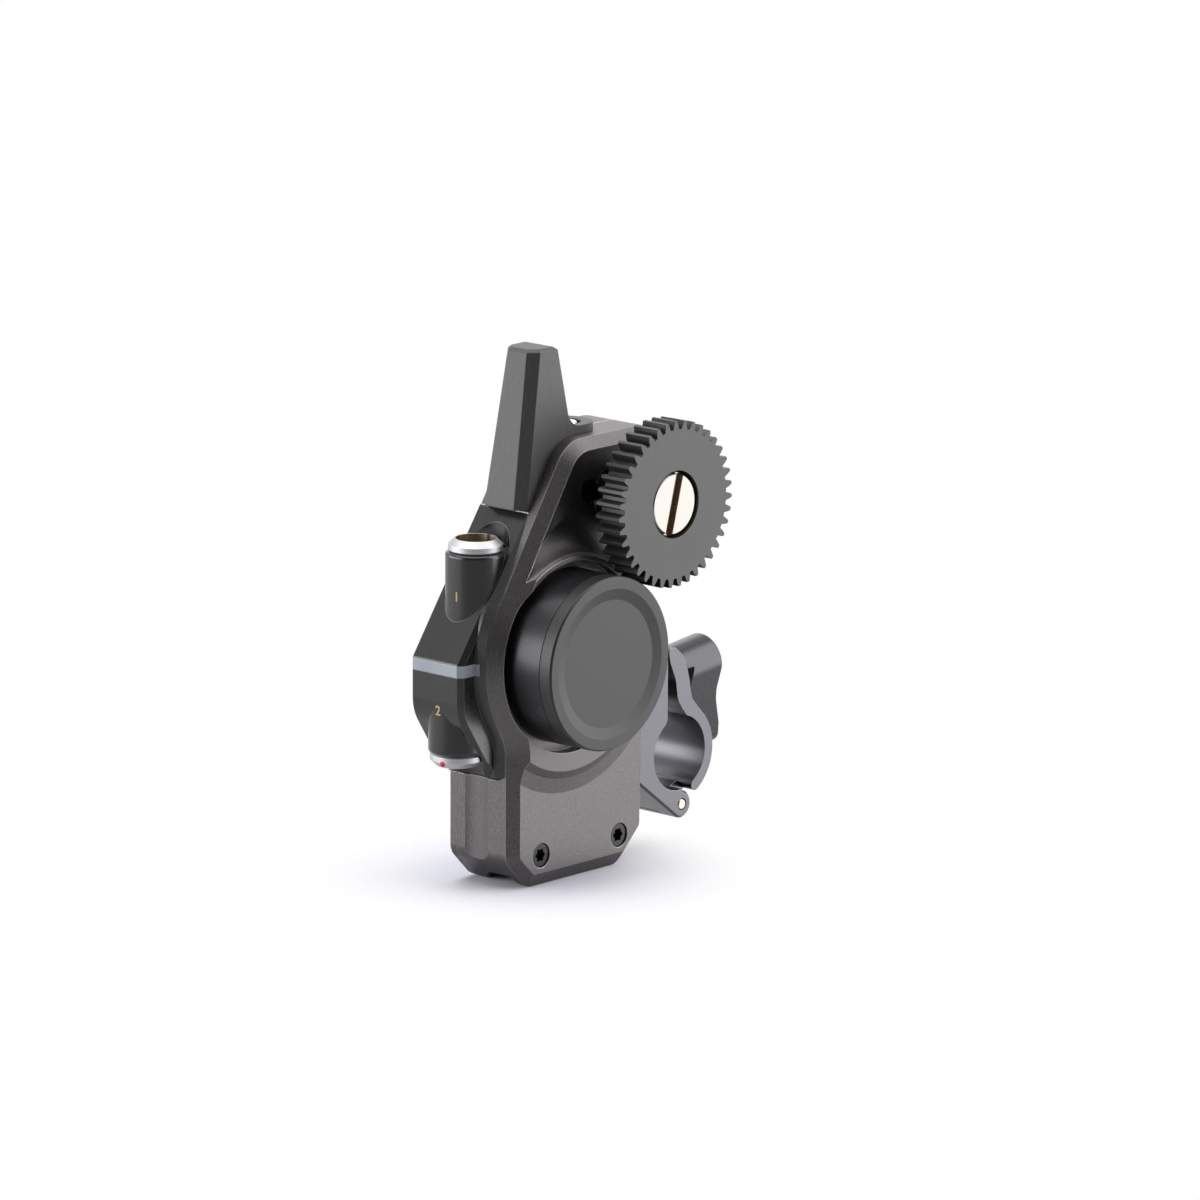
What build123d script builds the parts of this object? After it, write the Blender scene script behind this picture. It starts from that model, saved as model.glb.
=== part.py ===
from build123d import *
import os
from math import acos, atan2, cos, degrees, hypot, pi, radians, sin, tan

# Frame: origin on the rod axis at the middle of the clamp, +Y to the rear, +Z up. Millimetres.

# Rod clamp
rod_radius = 7.5
clamp_length = 14.6
jaw_wall = 2.25
clamp_wall = 4.5
clamp_top = 20.0
split_x = -3.55
split_round = 2.0
hinge_x = 0.83
hinge_z = -10.57
hinge_pin_radius = 1.25
knuckle_radius = 2.73
knuckle_width = 3.7
clamp_screw_radius = 2.0
clamp_screw_z = 13.0
clamp_screw_grip = 2.9
ear_thickness = 3.75
clamp_edge = 0.9
underside_angle = 37.6
screw_clearance = 0.25
screw_rise = 1.0
ear_top = 21.8
ear_outer_x = 3.1
jaw_end_angle = -57.0

# Clamp knob
big_lobe = 5.07
small_lobe = 2.66
big_lobe_z = 15.5
lobe_spacing = 14.6
knob_face_x = 14.9
knob_length = 9.8
knob_lean = 7.0
knob_hollow = 1.25
knob_collar_x = 4.2
knob_collar_radius = 2.8
knob_screw_reach = 6.0
knob_half_swing = 60.0

# Housing
left_from_motor = 15.63
top_over_gear = 13.2
base_below_rod = 18.95
edge_y = -7.4
body_depth = 14.9
cover_wall = 2.0
plate_proud = 2.04
boss_proud = 3.4
rim_proud = 2.1
seam_low_y = 5.2
seam_top_y = 0.4
seam_step_z = 52.0
seam_line_width = 0.16
seam_line_depth = 0.3
rear_bevel = 0.4
rim_width = 2.2
boss_fillet_run = 4.5
post_radius = 2.9
channel_rear_y = 3.6
channel_depth = 2.3
channel_slope = 3.0
groove_width = 6.1
groove_depth = 0.6
groove_y = 0.25
groove_foot = 5.4
left_cut = 6.0
right_cut = 6.6
corner_round = 3.6
slant = 57.5
lower_slant = 30.0
top_corner = 8.0
foot_height = 4.9
lip_thickness = 3.4
bottom_bevel = 2.9
heel_bevel = 1.3
shoulder_reach = 13.0
shoulder_round = 10.0
shoulder_drop = 6.0
shoulder_lean = 35.0

# Axes, measured from the rod
gear_from_rod_x = -16.2
gear_from_rod_z = 54.25
motor_from_gear_x = -18.47
motor_from_gear_z = -28.47

# Drive gear
gear_module = 0.8
gear_teeth = 39
gear_width = 6.0
gear_front_y = -20.3
gear_hole_radius = 6.64
gear_screw_head = 6.2
gear_screw_slot = 2.0
gear_screw_sink = 0.35
gear_spigot_radius = 4.4
gear_recess_depth = 2.35
gear_flange_radius = 6.5
gear_screw_radius = 2.0
slot_angle = 75.0

# Motor
can_radius = 17.0
can_wall = 1.2
cap_thickness = 2.9
cap_bevel_outer = 14.68
cap_bevel_inner = 12.49
cap_bevel_depth = 0.5
cap_edge = 0.35
housing_margin = 4.3
counterbore_radius = 18.8
counterbore_depth = 2.6
collar_radius = 19.7
boss_radius = 22.4
collar_edge = 0.5
collar_flare = 4.0
bush_radius = 3.0
stator_length = 8.0
stator_slots = 12
recess_floor_y = -5.3
recess_slope = 8.0
motor_shaft_radius = 1.5
motor_magnet_radius = 9.0
motor_relief_radius = 10.5
motor_air_gap = 0.4

# Reduction gears
small_module = 0.4
last_module = 0.5
pinion_teeth = 16
wheel_teeth = 44
last_wheel_teeth = 36
layer_width = 2.2
layer_gap = 0.4
first_layer_y = -2.9
train_bend = 30.0
idler_pin_radius = 1.0
shaft_radius = 2.5
bearing_width = 3.0
rear_bearing_width = 2.0

# Port block and sockets
block_front_y = -5.3
block_rear_y = 7.3
block_left_x = -60.7
block_under_mast = 0.3
block_base_z = 3.0
block_under_out = 3.9
block_under_rise = 3.8
block_under_angle = 57.0
strip_height = 2.3
port_y = 0.9
upper_port_x = -49.95
upper_port_z = 49.87
lower_port_x = -54.98
lower_port_z = 6.17
port_ring_radius = 5.3
port_bore_radius = 3.86
port_ring_height = 2.5
port_depth = 9.0
port_boss_radius = 5.85
port_boss_round = 0.7
ring_slope = 1.15
ring_edge = 0.35
keyway_width = 1.0
keyway_depth = 0.45
boss_length = 20.0
scoop_radius = 6.5
shell_radius = 4.6
pin_count = 7
pin_radius = 0.35
pin_top_depth = 4.5
strip_depth = 1.2
strip_reach = 4.5
block_bevel = 1.0
flank_width = 0.9
flank_lean = 19.0
nose_cover = 0.1

# Antenna fin and button
fin_left_x = -44.0
fin_base_z = 54.85
fin_top_z = 85.3
fin_lean = 9.5
fin_spread = 1.1
fin_top_width = 6.6
fin_front_y = -5.3
fin_depth = 11.1
fin_taper = 1.35
fin_chamfer = 1.85
fin_flare = 3.5
pad_height = 1.7
pad_right_x = -20.3
pad_corner = 4.2
fin_crown = 0.6
button_radius = 2.55
button_groove = 0.7
button_stem_radius = 1.0
button_x = -25.6
button_y = 0.4
button_travel = 0.4

# Fasteners and fits
cover_screw_head = 2.3
cover_screw_radius = 1.25
torx_radius = 1.35
cover_screw_inset_x = 8.0
cover_screw_inset_z = 6.4
recess_screw_angle = 168.0
recess_screw_reach = 8.4
running_fit = 0.05
part_gap = 0.3
thread_fit = 0.05
head_clearance = 0.15

# Derived places
gear_x = gear_from_rod_x
gear_z = gear_from_rod_z
motor_x = gear_x + motor_from_gear_x
motor_z = gear_z + motor_from_gear_z
right_x = -(rod_radius + clamp_wall)
left_x = motor_x - left_from_motor
base_z = -base_below_rod
top_z = gear_z + top_over_gear
rear_y = edge_y + body_depth
plate_y = edge_y - plate_proud
boss_y = edge_y - boss_proud
plate_drop = plate_y - boss_y
rim_y = edge_y - rim_proud
housing_radius = can_radius + housing_margin
gear_back_y = gear_front_y + gear_width
fin_middle_y = fin_front_y + fin_depth / 2
block_top_z = fin_base_z - block_under_mast
clamp_front = -clamp_length / 2
clamp_back = clamp_length / 2
beyond = top_z - base_z


def save(shape, name):
    export_step(shape, "parts/" + name + ".step")


def rod(radius, y0, y1, x, z):
    """Cylinder along Y."""
    return Pos(x, (y0 + y1) / 2, z) * Rot(90, 0, 0) * Cylinder(radius, y1 - y0)


def tube(outer, inner, y0, y1, x, z):
    return rod(outer, y0, y1, x, z) - rod(inner, y0 - 1, y1 + 1, x, z)


def bar(radius, x0, x1, y, z):
    """Cylinder along X."""
    return Pos((x0 + x1) / 2, y, z) * Rot(0, 90, 0) * Cylinder(radius, x1 - x0)


def post(radius, z0, z1, x, y):
    """Cylinder along Z."""
    return Pos(x, y, (z0 + z1) / 2) * Cylinder(radius, z1 - z0)


def block(x0, x1, y0, y1, z0, z1):
    return Pos((x0 + x1) / 2, (y0 + y1) / 2, (z0 + z1) / 2) * Box(x1 - x0, y1 - y0, z1 - z0)


def prism(face, y0, y1):
    """Face drawn in X and Z, extruded from y0 to y1."""
    plane = Plane(origin=(0, y1, 0), x_dir=(1, 0, 0), z_dir=(0, -1, 0))
    return extrude(plane * face, amount=y1 - y0, dir=(0, -1, 0))


def turned(points, x, z):
    """Closed profile of (radius, y) points turned about the Y axis through (x, z)."""
    face = make_face(Polyline(*[(r, y) for r, y in points], close=True))
    return Pos(x, 0, z) * revolve(face, Axis.Y)


def hollow_curve(start, foot):
    """Arc from start that runs out flat at foot."""
    return TangentArc(foot, start, tangent=(-1, 0))


def rounded(corners):
    """Closed outline of (x, z, radius) corners, each rounded by a tangent arc."""
    count = len(corners)
    starts = []
    for i, (x, z, r) in enumerate(corners):
        px, pz, _ = corners[i - 1]
        nx, nz, _ = corners[(i + 1) % count]
        a = (px - x, pz - z)
        b = (nx - x, nz - z)
        la = hypot(*a)
        lb = hypot(*b)
        a = (a[0] / la, a[1] / la)
        b = (b[0] / lb, b[1] / lb)
        half = acos(max(-1, min(1, a[0] * b[0] + a[1] * b[1]))) / 2
        reach = r / tan(half)
        middle = (a[0] + b[0], a[1] + b[1])
        lm = hypot(*middle)
        to_arc = r / sin(half) - r
        start = (x + a[0] * reach, z + a[1] * reach)
        end = (x + b[0] * reach, z + b[1] * reach)
        top = (x + middle[0] / lm * to_arc, z + middle[1] / lm * to_arc)
        starts.append((start, top, end, r))
    edges = []
    for i, (start, top, end, r) in enumerate(starts):
        before = starts[i - 1][2]
        if hypot(start[0] - before[0], start[1] - before[1]) > 1e-4:
            edges.append(Line(before, start))
        if r > 0:
            edges.append(ThreePointArc(start, top, end))
    return make_face(Wire(edges))


def outline():
    """The housing seen from the front: round the motor, slanted side, round the drive gear."""
    up = (cos(radians(slant)), sin(radians(slant)))
    out = (-up[1], up[0])
    touch = (motor_x + housing_radius * out[0], motor_z + housing_radius * out[1])
    far_left = motor_x - housing_radius
    left_z = touch[1] - (touch[0] - far_left) / up[0] * up[1]
    corner_x = touch[0] + (top_z - touch[1]) / up[1] * up[0]
    low = radians(lower_slant)
    low_touch = (motor_x - housing_radius * cos(low), motor_z - housing_radius * sin(low))
    low_left_z = low_touch[1] + (low_touch[0] - far_left) / tan(low)
    low_side_z = low_touch[1] - (left_x - low_touch[0]) / tan(low)
    shoulder_x = gear_x + shoulder_reach
    shoulder_z = gear_z - shoulder_drop
    waist_z = shoulder_z - (shoulder_x - right_x) / tan(radians(shoulder_lean))
    return rounded([
        (left_x, base_z + left_cut, corner_round),
        (left_x + left_cut, base_z, corner_round),
        (right_x - right_cut, base_z, corner_round),
        (right_x, base_z + right_cut, corner_round),
        (right_x, waist_z, 6.0),
        (shoulder_x, shoulder_z, 6.0),
        (shoulder_x, top_z, shoulder_round),
        (corner_x, top_z, top_corner),
        (far_left, left_z, housing_radius),
        (far_left, low_left_z, housing_radius),
        (left_x, low_side_z, 8.0),
    ])


def shrunk(face, amount):
    return offset(face, amount=-amount, kind=Kind.INTERSECTION)


def gear_face(teeth, module, phase, backlash=0.09, addendum=0.9):
    """Spur gear outline with straight-sided teeth; phase is the angle of one tooth."""
    pitch = teeth * module / 2
    tip = pitch + module * addendum
    root = pitch - module * 1.2
    half = (pi * module / 2 - backlash) / pitch / 2
    tip_half = half - tan(radians(21)) * (tip - pitch) / pitch
    low_half = half + tan(radians(17)) * (pitch - root) / pitch
    points = []
    for k in range(teeth):
        middle = radians(phase) + 2 * pi * k / teeth
        shape = ((root, -low_half), (pitch, -half), (tip, -tip_half))
        shape = shape + ((tip, tip_half), (pitch, half), (root, low_half))
        for radius, angle in shape:
            points.append((radius * cos(middle + angle), radius * sin(middle + angle)))
    return make_face(Polyline(*points, close=True))


def gear_solid(teeth, module, phase, y0, y1, x, z, bore, **form):
    body = prism(gear_face(teeth, module, phase, **form), y0, y1)
    return Pos(x, 0, z) * (body - rod(bore, y0 - 1, y1 + 1, 0, 0))


def meeting(first, first_reach, second, second_reach):
    """The point at two given distances from two axes, on the left of the line between them."""
    dx = second[0] - first[0]
    dz = second[1] - first[1]
    gap = hypot(dx, dz)
    along = (first_reach ** 2 - second_reach ** 2 + gap ** 2) / (2 * gap)
    aside = max(first_reach ** 2 - along ** 2, 0) ** 0.5
    x = first[0] + dx / gap * along - dz / gap * aside
    z = first[1] + dz / gap * along + dx / gap * aside
    return x, z


def bearing(direction):
    """Angle of a direction in X and Z, in degrees."""
    return degrees(atan2(direction[1], direction[0]))


# Reduction train: motor pinion, two double wheels and the output wheel
first_reach = small_module * (pinion_teeth + wheel_teeth) / 2
last_reach = last_module * (pinion_teeth + last_wheel_teeth) / 2
motor_axis = (motor_x, motor_z)
gear_axis = (gear_x, gear_z)
train_angle = radians(bearing((gear_x - motor_x, gear_z - motor_z)) + train_bend)
idler1 = (motor_x + first_reach * cos(train_angle), motor_z + first_reach * sin(train_angle))
idler2 = meeting(idler1, first_reach, gear_axis, last_reach)


def layer(number):
    start = first_layer_y + number * (layer_width + layer_gap)
    return start, start + layer_width


def mesh_phase(driver, driven, teeth):
    """Phase that puts a gap of the driven gear at the driver."""
    return bearing((driver[0] - driven[0], driver[1] - driven[1])) + 180 / teeth


# Rows shared by several parts
slant_up = (cos(radians(slant)), sin(radians(slant)))
slant_out = (-slant_up[1], slant_up[0])
slant_touch = (motor_x + housing_radius * slant_out[0], motor_z + housing_radius * slant_out[1])
housing_face = outline()
inner_face = shrunk(housing_face, cover_wall)
bearing_radius = shaft_radius * 2
bearing_boss_y = plate_y - 0.7
cap_back_y = gear_front_y + cap_thickness
can_back_y = recess_floor_y + 0.7
cavity_y = recess_floor_y + cover_wall
rear_wall_y = rear_y - cover_wall
rear_bearing_y = first_layer_y + 3 * layer_width + 2 * layer_gap + part_gap
stator_y = cap_back_y + 2.2
board_y = 2.6
board_thickness = 1.2
cover_screw_x = (left_x + cover_screw_inset_x, right_x - cover_screw_inset_x)
cover_screw_z = base_z + cover_screw_inset_z
rear_screw_places = (
    (gear_x - 15.5, gear_z + 6.5),
    (right_x - 5.0, motor_z + 4.0),
    (left_x + 6.0, motor_z - 16.0),
)
board_screw_places = (
    (motor_x - 3.2, motor_z - 28.0),
    (motor_x + 11.6, motor_z - 15.0),
)
clamp_screw_places = (-3.0, 16.5)
block_slope = (motor_x - 6.95, block_top_z)


def posts(places, radius, y0, y1):
    solid = None
    for x, z in places:
        one = rod(radius, y0, y1, x, z)
        solid = one if solid is None else solid + one
    return solid


def block_face():
    """Side view of the port block: slanted top face, upright nose, slanted underside."""
    strip_top = motor_z + 1.5
    under_x = left_x - block_under_out
    under_z = block_base_z + block_under_rise
    nose_z = under_z + (under_x - block_left_x) * tan(radians(block_under_angle))
    inside_x = left_x + 2 * cover_wall
    return rounded([
        (block_slope[0] + 8, block_top_z, 0),
        (block_slope[0], block_top_z, 1.5),
        (block_left_x, strip_top, 1.2),
        (block_left_x, nose_z, 9.0),
        (under_x, under_z, 3.0),
        (left_x, block_base_z, 0),
        (inside_x, block_base_z, 0),
    ])


def housing_blank():
    """Outside of both covers, chamfered in front, with boss, plate, rim and recess levels."""
    blank = prism(housing_face, boss_y, rear_y)
    front = blank.faces().sort_by(Axis.Y)[0]
    blank = chamfer(front.edges(), length=boss_proud)
    back = blank.faces().sort_by(Axis.Y)[-1]
    blank = chamfer(back.edges(), length=rear_bevel)
    far = boss_y - beyond
    flat = boss_radius
    run = boss_fillet_run
    away = boss_radius + beyond
    sunk = turned([(flat, far), (flat, boss_y), (flat + run * 0.35, boss_y + plate_drop * 0.6),
                   (flat + run, plate_y), (away, plate_y), (away, far)], motor_x, motor_z)
    lower = block(left_x - beyond, right_x + beyond, far, rear_y, base_z - beyond, motor_z)
    upper = block(left_x - beyond, right_x + beyond, far, rear_y, motor_z, top_z + beyond)
    rim_cut = prism(housing_face, far, rim_y) & upper
    rim_cut = rim_cut - rod(boss_radius, far - 1, rear_y, motor_x, motor_z)
    blank = blank - (sunk & lower) - rim_cut
    return blank


def recess():
    """Hollow behind the drive gear: falls from the slanted rim, stops at the motor collar."""
    far = boss_y - beyond
    start = rim_width
    brow = (start, rim_y)
    foot = (start + recess_slope, recess_floor_y)
    slope = hollow_curve(brow, foot)
    face = make_face(slope + Polyline(foot, (beyond, recess_floor_y), (beyond, far), (start, far), brow))
    plane = Plane(origin=(slant_touch[0], 0, slant_touch[1]), x_dir=(-slant_out[0], 0, -slant_out[1]),
                  z_dir=(slant_up[0], 0, slant_up[1]))
    hollow = extrude(plane * face, amount=beyond, both=True)
    hollow = hollow & prism(shrunk(housing_face, rim_width), far, recess_floor_y)
    hollow = hollow & block(left_x - beyond, right_x + beyond, far - 1, 0, motor_z + 4, top_z)
    brow = (collar_radius + collar_edge, boss_y + collar_edge)
    foot = (boss_radius + collar_flare, recess_floor_y)
    curve = hollow_curve(brow, foot)
    side = Polyline(foot, (foot[0], 0), (0, 0), (0, far), (collar_radius, far), (collar_radius, boss_y), brow)
    collar = Pos(motor_x, 0, motor_z) * revolve(make_face(curve + side), Axis.Y)
    return hollow - collar


def window():
    """Opening in the left wall that the port block closes."""
    face = block_face() & (housing_face - inner_face)
    return prism(face, block_front_y, rear_y + 2) + port_bosses()


def cavity():
    """Space inside the covers, with the posts that the screws and axles stand in left whole."""
    space = prism(inner_face, cavity_y, rear_wall_y)
    space = space & block(left_x - beyond, right_x + beyond, cavity_y, rear_wall_y,
                          base_z + foot_height, top_z)
    screw_posts = posts(rear_screw_places, post_radius, cavity_y - 1, rear_wall_y)
    cover_places = [(x, cover_screw_z) for x in cover_screw_x]
    cover_posts = posts(cover_places, post_radius, cavity_y - 1, rear_wall_y)
    board_posts = posts(board_screw_places, post_radius, cavity_y - 1, board_y)
    return space - screw_posts - cover_posts - board_posts


def toe_bevel():
    """Slanted lower edge of the front, drawn in Y and Z."""
    return make_face(Polyline((plate_y, base_z + bottom_bevel), (edge_y, base_z),
                              (plate_y - 2, base_z), (plate_y - 2, base_z + bottom_bevel),
                              close=True))


def heel_wedge():
    """Slanted lower edge of the back, drawn in Y and Z."""
    return make_face(Polyline((rear_y - heel_bevel, base_z), (rear_y, base_z + heel_bevel),
                              (rear_y + 1, base_z + heel_bevel), (rear_y + 1, base_z),
                              close=True))


def channel():
    """Cross channel of the underside, between the front lip and the rear foot, in Y and Z."""
    front = plate_y + lip_thickness
    roof = base_z + channel_depth
    return make_face(Polyline((front, base_z - 1), (front, base_z), (front + 1.0, roof),
                              (channel_rear_y - channel_slope, roof), (channel_rear_y, base_z),
                              (channel_rear_y, base_z - 1), close=True))


def shell():
    """Both covers in one piece, before the seam parts them."""
    solid = housing_blank() - recess() - cavity() - window()
    solid = solid + (rod(bearing_radius + 1.8, bearing_boss_y, cavity_y, gear_x, gear_z))
    for side_view in (toe_bevel(), heel_wedge(), channel()):
        plane = Plane(origin=(left_x - 1, 0, 0), x_dir=(0, 1, 0), z_dir=(1, 0, 0))
        solid = solid - extrude(plane * side_view, amount=right_x - left_x + 2, dir=(1, 0, 0))
    groove_radius = (groove_width ** 2 / 4 + groove_depth ** 2) / (2 * groove_depth)
    solid = solid - post(groove_radius, base_z + groove_foot, block_base_z + 1.0,
                         left_x - groove_radius + groove_depth, groove_y)
    solid = solid - rod(counterbore_radius, boss_y - 1, boss_y + counterbore_depth, motor_x, motor_z)
    solid = solid - rod(can_radius + thread_fit, boss_y - 1, can_back_y, motor_x, motor_z)
    solid = solid - rod(motor_relief_radius, can_back_y - 1, cavity_y + 1, motor_x, motor_z)
    solid = solid - rod(shaft_radius + part_gap, bearing_boss_y - 1, cavity_y + 1, gear_x, gear_z)
    solid = solid - rod(bearing_radius, bearing_boss_y - 1, bearing_boss_y + bearing_width,
                        gear_x, gear_z)
    for x, z in (idler1, idler2):
        solid = solid - rod(idler_pin_radius, cavity_y - 1.2, cavity_y + 1, x, z)
        solid = solid - rod(idler_pin_radius, rear_wall_y - 1, rear_wall_y + 1.2, x, z)
    for x in cover_screw_x:
        solid = solid - rod(cover_screw_head + head_clearance, plate_y - 3, plate_y + 2.0,
                            x, cover_screw_z)
        solid = solid - rod(cover_screw_radius + thread_fit, plate_y, rear_y - 0.8,
                            x, cover_screw_z)
    for x, z in rear_screw_places:
        solid = solid - rod(cover_screw_head + head_clearance, rear_y - 1.6, rear_y + 1, x, z)
        solid = solid - rod(cover_screw_radius + thread_fit, cavity_y + 1, rear_y, x, z)
    for x, z in board_screw_places:
        solid = solid - rod(cover_screw_radius + thread_fit, board_y - 4, board_y + 1, x, z)
    for z in clamp_screw_places:
        solid = solid - bar(cover_screw_radius + thread_fit, right_x - 6, right_x + 1, 0.0, z)
    solid = solid - post(button_stem_radius + running_fit, top_z - cover_wall - 1, top_z + 1,
                         button_x, button_y)
    x, z = recess_screw_place()
    solid = solid - rod(cover_screw_radius + thread_fit, boss_y, cavity_y + 1, x, z)
    solid = solid - rod(cover_screw_head + head_clearance, boss_y, recess_floor_y + 1.0, x, z)
    return solid


def recess_screw_place():
    angle = radians(recess_screw_angle)
    return gear_x + recess_screw_reach * cos(angle), gear_z + recess_screw_reach * sin(angle)


def rear_zone():
    """Everything behind the stepped seam."""
    low = block(left_x - beyond, right_x + beyond, seam_low_y, rear_y + 5, base_z - 5, seam_step_z)
    high = block(left_x - beyond, right_x + beyond, seam_top_y, rear_y + 5, seam_step_z,
                 top_z + beyond)
    return low + high


def front_cover():
    return shell() - rear_zone()


def seam_line():
    """Fine line round the outside where the two covers meet."""
    low = block(left_x - beyond, right_x + beyond, seam_low_y, seam_low_y + seam_line_width,
                base_z - beyond, seam_step_z)
    high = block(left_x - beyond, right_x + beyond, seam_top_y, seam_top_y + seam_line_width,
                 seam_step_z, top_z + beyond)
    core = prism(shrunk(housing_face, seam_line_depth), seam_top_y - 1, rear_y)
    return (low + high) - core


def rear_cover():
    cover = (shell() & rear_zone()) - seam_line()
    pocket_y = layer(2)[1] + part_gap
    boss = rod(bearing_radius + 1.5, rear_bearing_y, rear_wall_y + 0.5, gear_x, gear_z)
    cover = cover + boss
    return cover - rod(bearing_radius, pocket_y, rear_bearing_y + rear_bearing_width,
                       gear_x, gear_z)


# Motor

def motor_can():
    can = rod(can_radius, cap_back_y + 0.15, can_back_y, motor_x, motor_z)
    can = can - rod(can_radius - can_wall, cap_back_y, can_back_y - 2.0, motor_x, motor_z)
    return can - rod(bush_radius, can_back_y - 3, can_back_y + 1, motor_x, motor_z)


def motor_cap():
    front = gear_front_y
    floor = front + cap_bevel_depth
    neck = can_radius - can_wall - thread_fit
    profile = [(0, floor), (cap_bevel_inner, floor), (cap_bevel_outer, front),
               (can_radius - cap_edge, front), (can_radius, front + cap_edge),
               (can_radius, cap_back_y), (neck, cap_back_y), (neck, cap_back_y + 0.8),
               (bush_radius, cap_back_y + 0.8), (bush_radius, cap_back_y - 1.2),
               (0, cap_back_y - 1.2)]
    return turned(profile, motor_x, motor_z)


def motor_bush(y0, y1):
    return tube(bush_radius, motor_shaft_radius + running_fit, y0, y1, motor_x, motor_z)


def motor_stator():
    outer = can_radius - can_wall
    inner = motor_magnet_radius + motor_air_gap
    ring = tube(outer, inner, stator_y, stator_y + stator_length, motor_x, motor_z)
    wall = (outer - inner) / 4
    for k in range(stator_slots):
        slot = block(inner + wall, outer - wall, stator_y - 1, stator_y + stator_length + 1,
                     -1.1, 1.1)
        ring = ring - Pos(motor_x, 0, motor_z) * Rot(0, 360 / stator_slots * k, 0) * slot
    return ring


def motor_magnet():
    return tube(motor_magnet_radius, motor_shaft_radius, stator_y, stator_y + stator_length,
                motor_x, motor_z)


def motor_shaft():
    return rod(motor_shaft_radius, cap_back_y - 1.0, layer(0)[1], motor_x, motor_z)


def encoder_magnet():
    return rod(motor_shaft_radius + 0.6, layer(0)[1], layer(0)[1] + 1.0, motor_x, motor_z)


# Gear train

phase_1 = mesh_phase(motor_axis, idler1, wheel_teeth)
phase_2 = mesh_phase(idler1, idler2, wheel_teeth)
phase_3 = mesh_phase(idler2, gear_axis, last_wheel_teeth)
pinion_phase_1 = bearing((idler2[0] - idler1[0], idler2[1] - idler1[1]))
pinion_phase_2 = bearing((gear_x - idler2[0], gear_z - idler2[1]))


def motor_pinion():
    start, end = layer(0)
    phase = bearing((idler1[0] - motor_x, idler1[1] - motor_z))
    return gear_solid(pinion_teeth, small_module, phase, start, end, motor_x, motor_z,
                      motor_shaft_radius)


def double_idler(at, number, phase, pinion_module, pinion_phase):
    start, end = layer(number)
    wheel = gear_solid(wheel_teeth, small_module, phase, start, end, at[0], at[1],
                       idler_pin_radius + running_fit)
    after, last = layer(number + 1)
    pinion = gear_solid(pinion_teeth, pinion_module, pinion_phase, after, last, at[0], at[1],
                        idler_pin_radius + running_fit)
    hub = pinion_teeth * pinion_module / 2 - pinion_module * 1.2
    return wheel + tube(hub, idler_pin_radius + running_fit, end, after, *at) + pinion


def idler_pin(at):
    return rod(idler_pin_radius, cavity_y - 1.0, rear_wall_y + 1.0, *at)


def output_wheel():
    start, end = layer(2)
    return gear_solid(last_wheel_teeth, last_module, phase_3, start, end, gear_x, gear_z,
                      shaft_radius)


def output_shaft():
    shaft = rod(shaft_radius, gear_back_y, rear_bearing_y + rear_bearing_width, gear_x, gear_z)
    shaft = shaft + rod(gear_flange_radius, gear_back_y, gear_back_y + 1.5, gear_x, gear_z)
    front = gear_front_y + gear_recess_depth
    shaft = shaft + rod(gear_spigot_radius, front, gear_back_y, gear_x, gear_z)
    return shaft - rod(gear_screw_radius + thread_fit, front - 1, gear_back_y + 2,
                       gear_x, gear_z)


def shaft_bearing(y0, y1):
    return tube(bearing_radius, shaft_radius + running_fit, y0, y1, gear_x, gear_z)


def drive_gear():
    gear = prism(gear_face(gear_teeth, gear_module, 90.0, backlash=0.12), gear_front_y,
                 gear_back_y)
    gear = Pos(gear_x, 0, gear_z) * gear
    gear = gear - rod(gear_hole_radius, gear_front_y - 1, gear_front_y + gear_recess_depth,
                      gear_x, gear_z)
    return gear - rod(gear_spigot_radius, gear_front_y, gear_back_y + 1, gear_x, gear_z)


def gear_screw():
    top = gear_front_y + gear_screw_sink
    floor = gear_front_y + gear_recess_depth
    edge = 0.4
    head = turned([(0, top), (gear_screw_head - edge, top), (gear_screw_head, top + edge),
                   (gear_screw_head, floor), (gear_screw_radius, floor),
                   (gear_screw_radius, gear_back_y + 1.5), (0, gear_back_y + 1.5)],
                  gear_x, gear_z)
    slot = block(-gear_screw_head - 1, gear_screw_head + 1, top - 1, top + 1.0,
                 -gear_screw_slot / 2, gear_screw_slot / 2)
    return head - Pos(gear_x, 0, gear_z) * Rot(0, -slot_angle, 0) * slot


# Rod clamp

def lever_tangent():
    """Height at which the clamp's underside, tangent to the knuckle, meets the housing."""
    lean = radians(underside_angle)
    reach = hinge_x - right_x
    return hinge_z + reach * tan(lean) - knuckle_radius / cos(lean)


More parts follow.
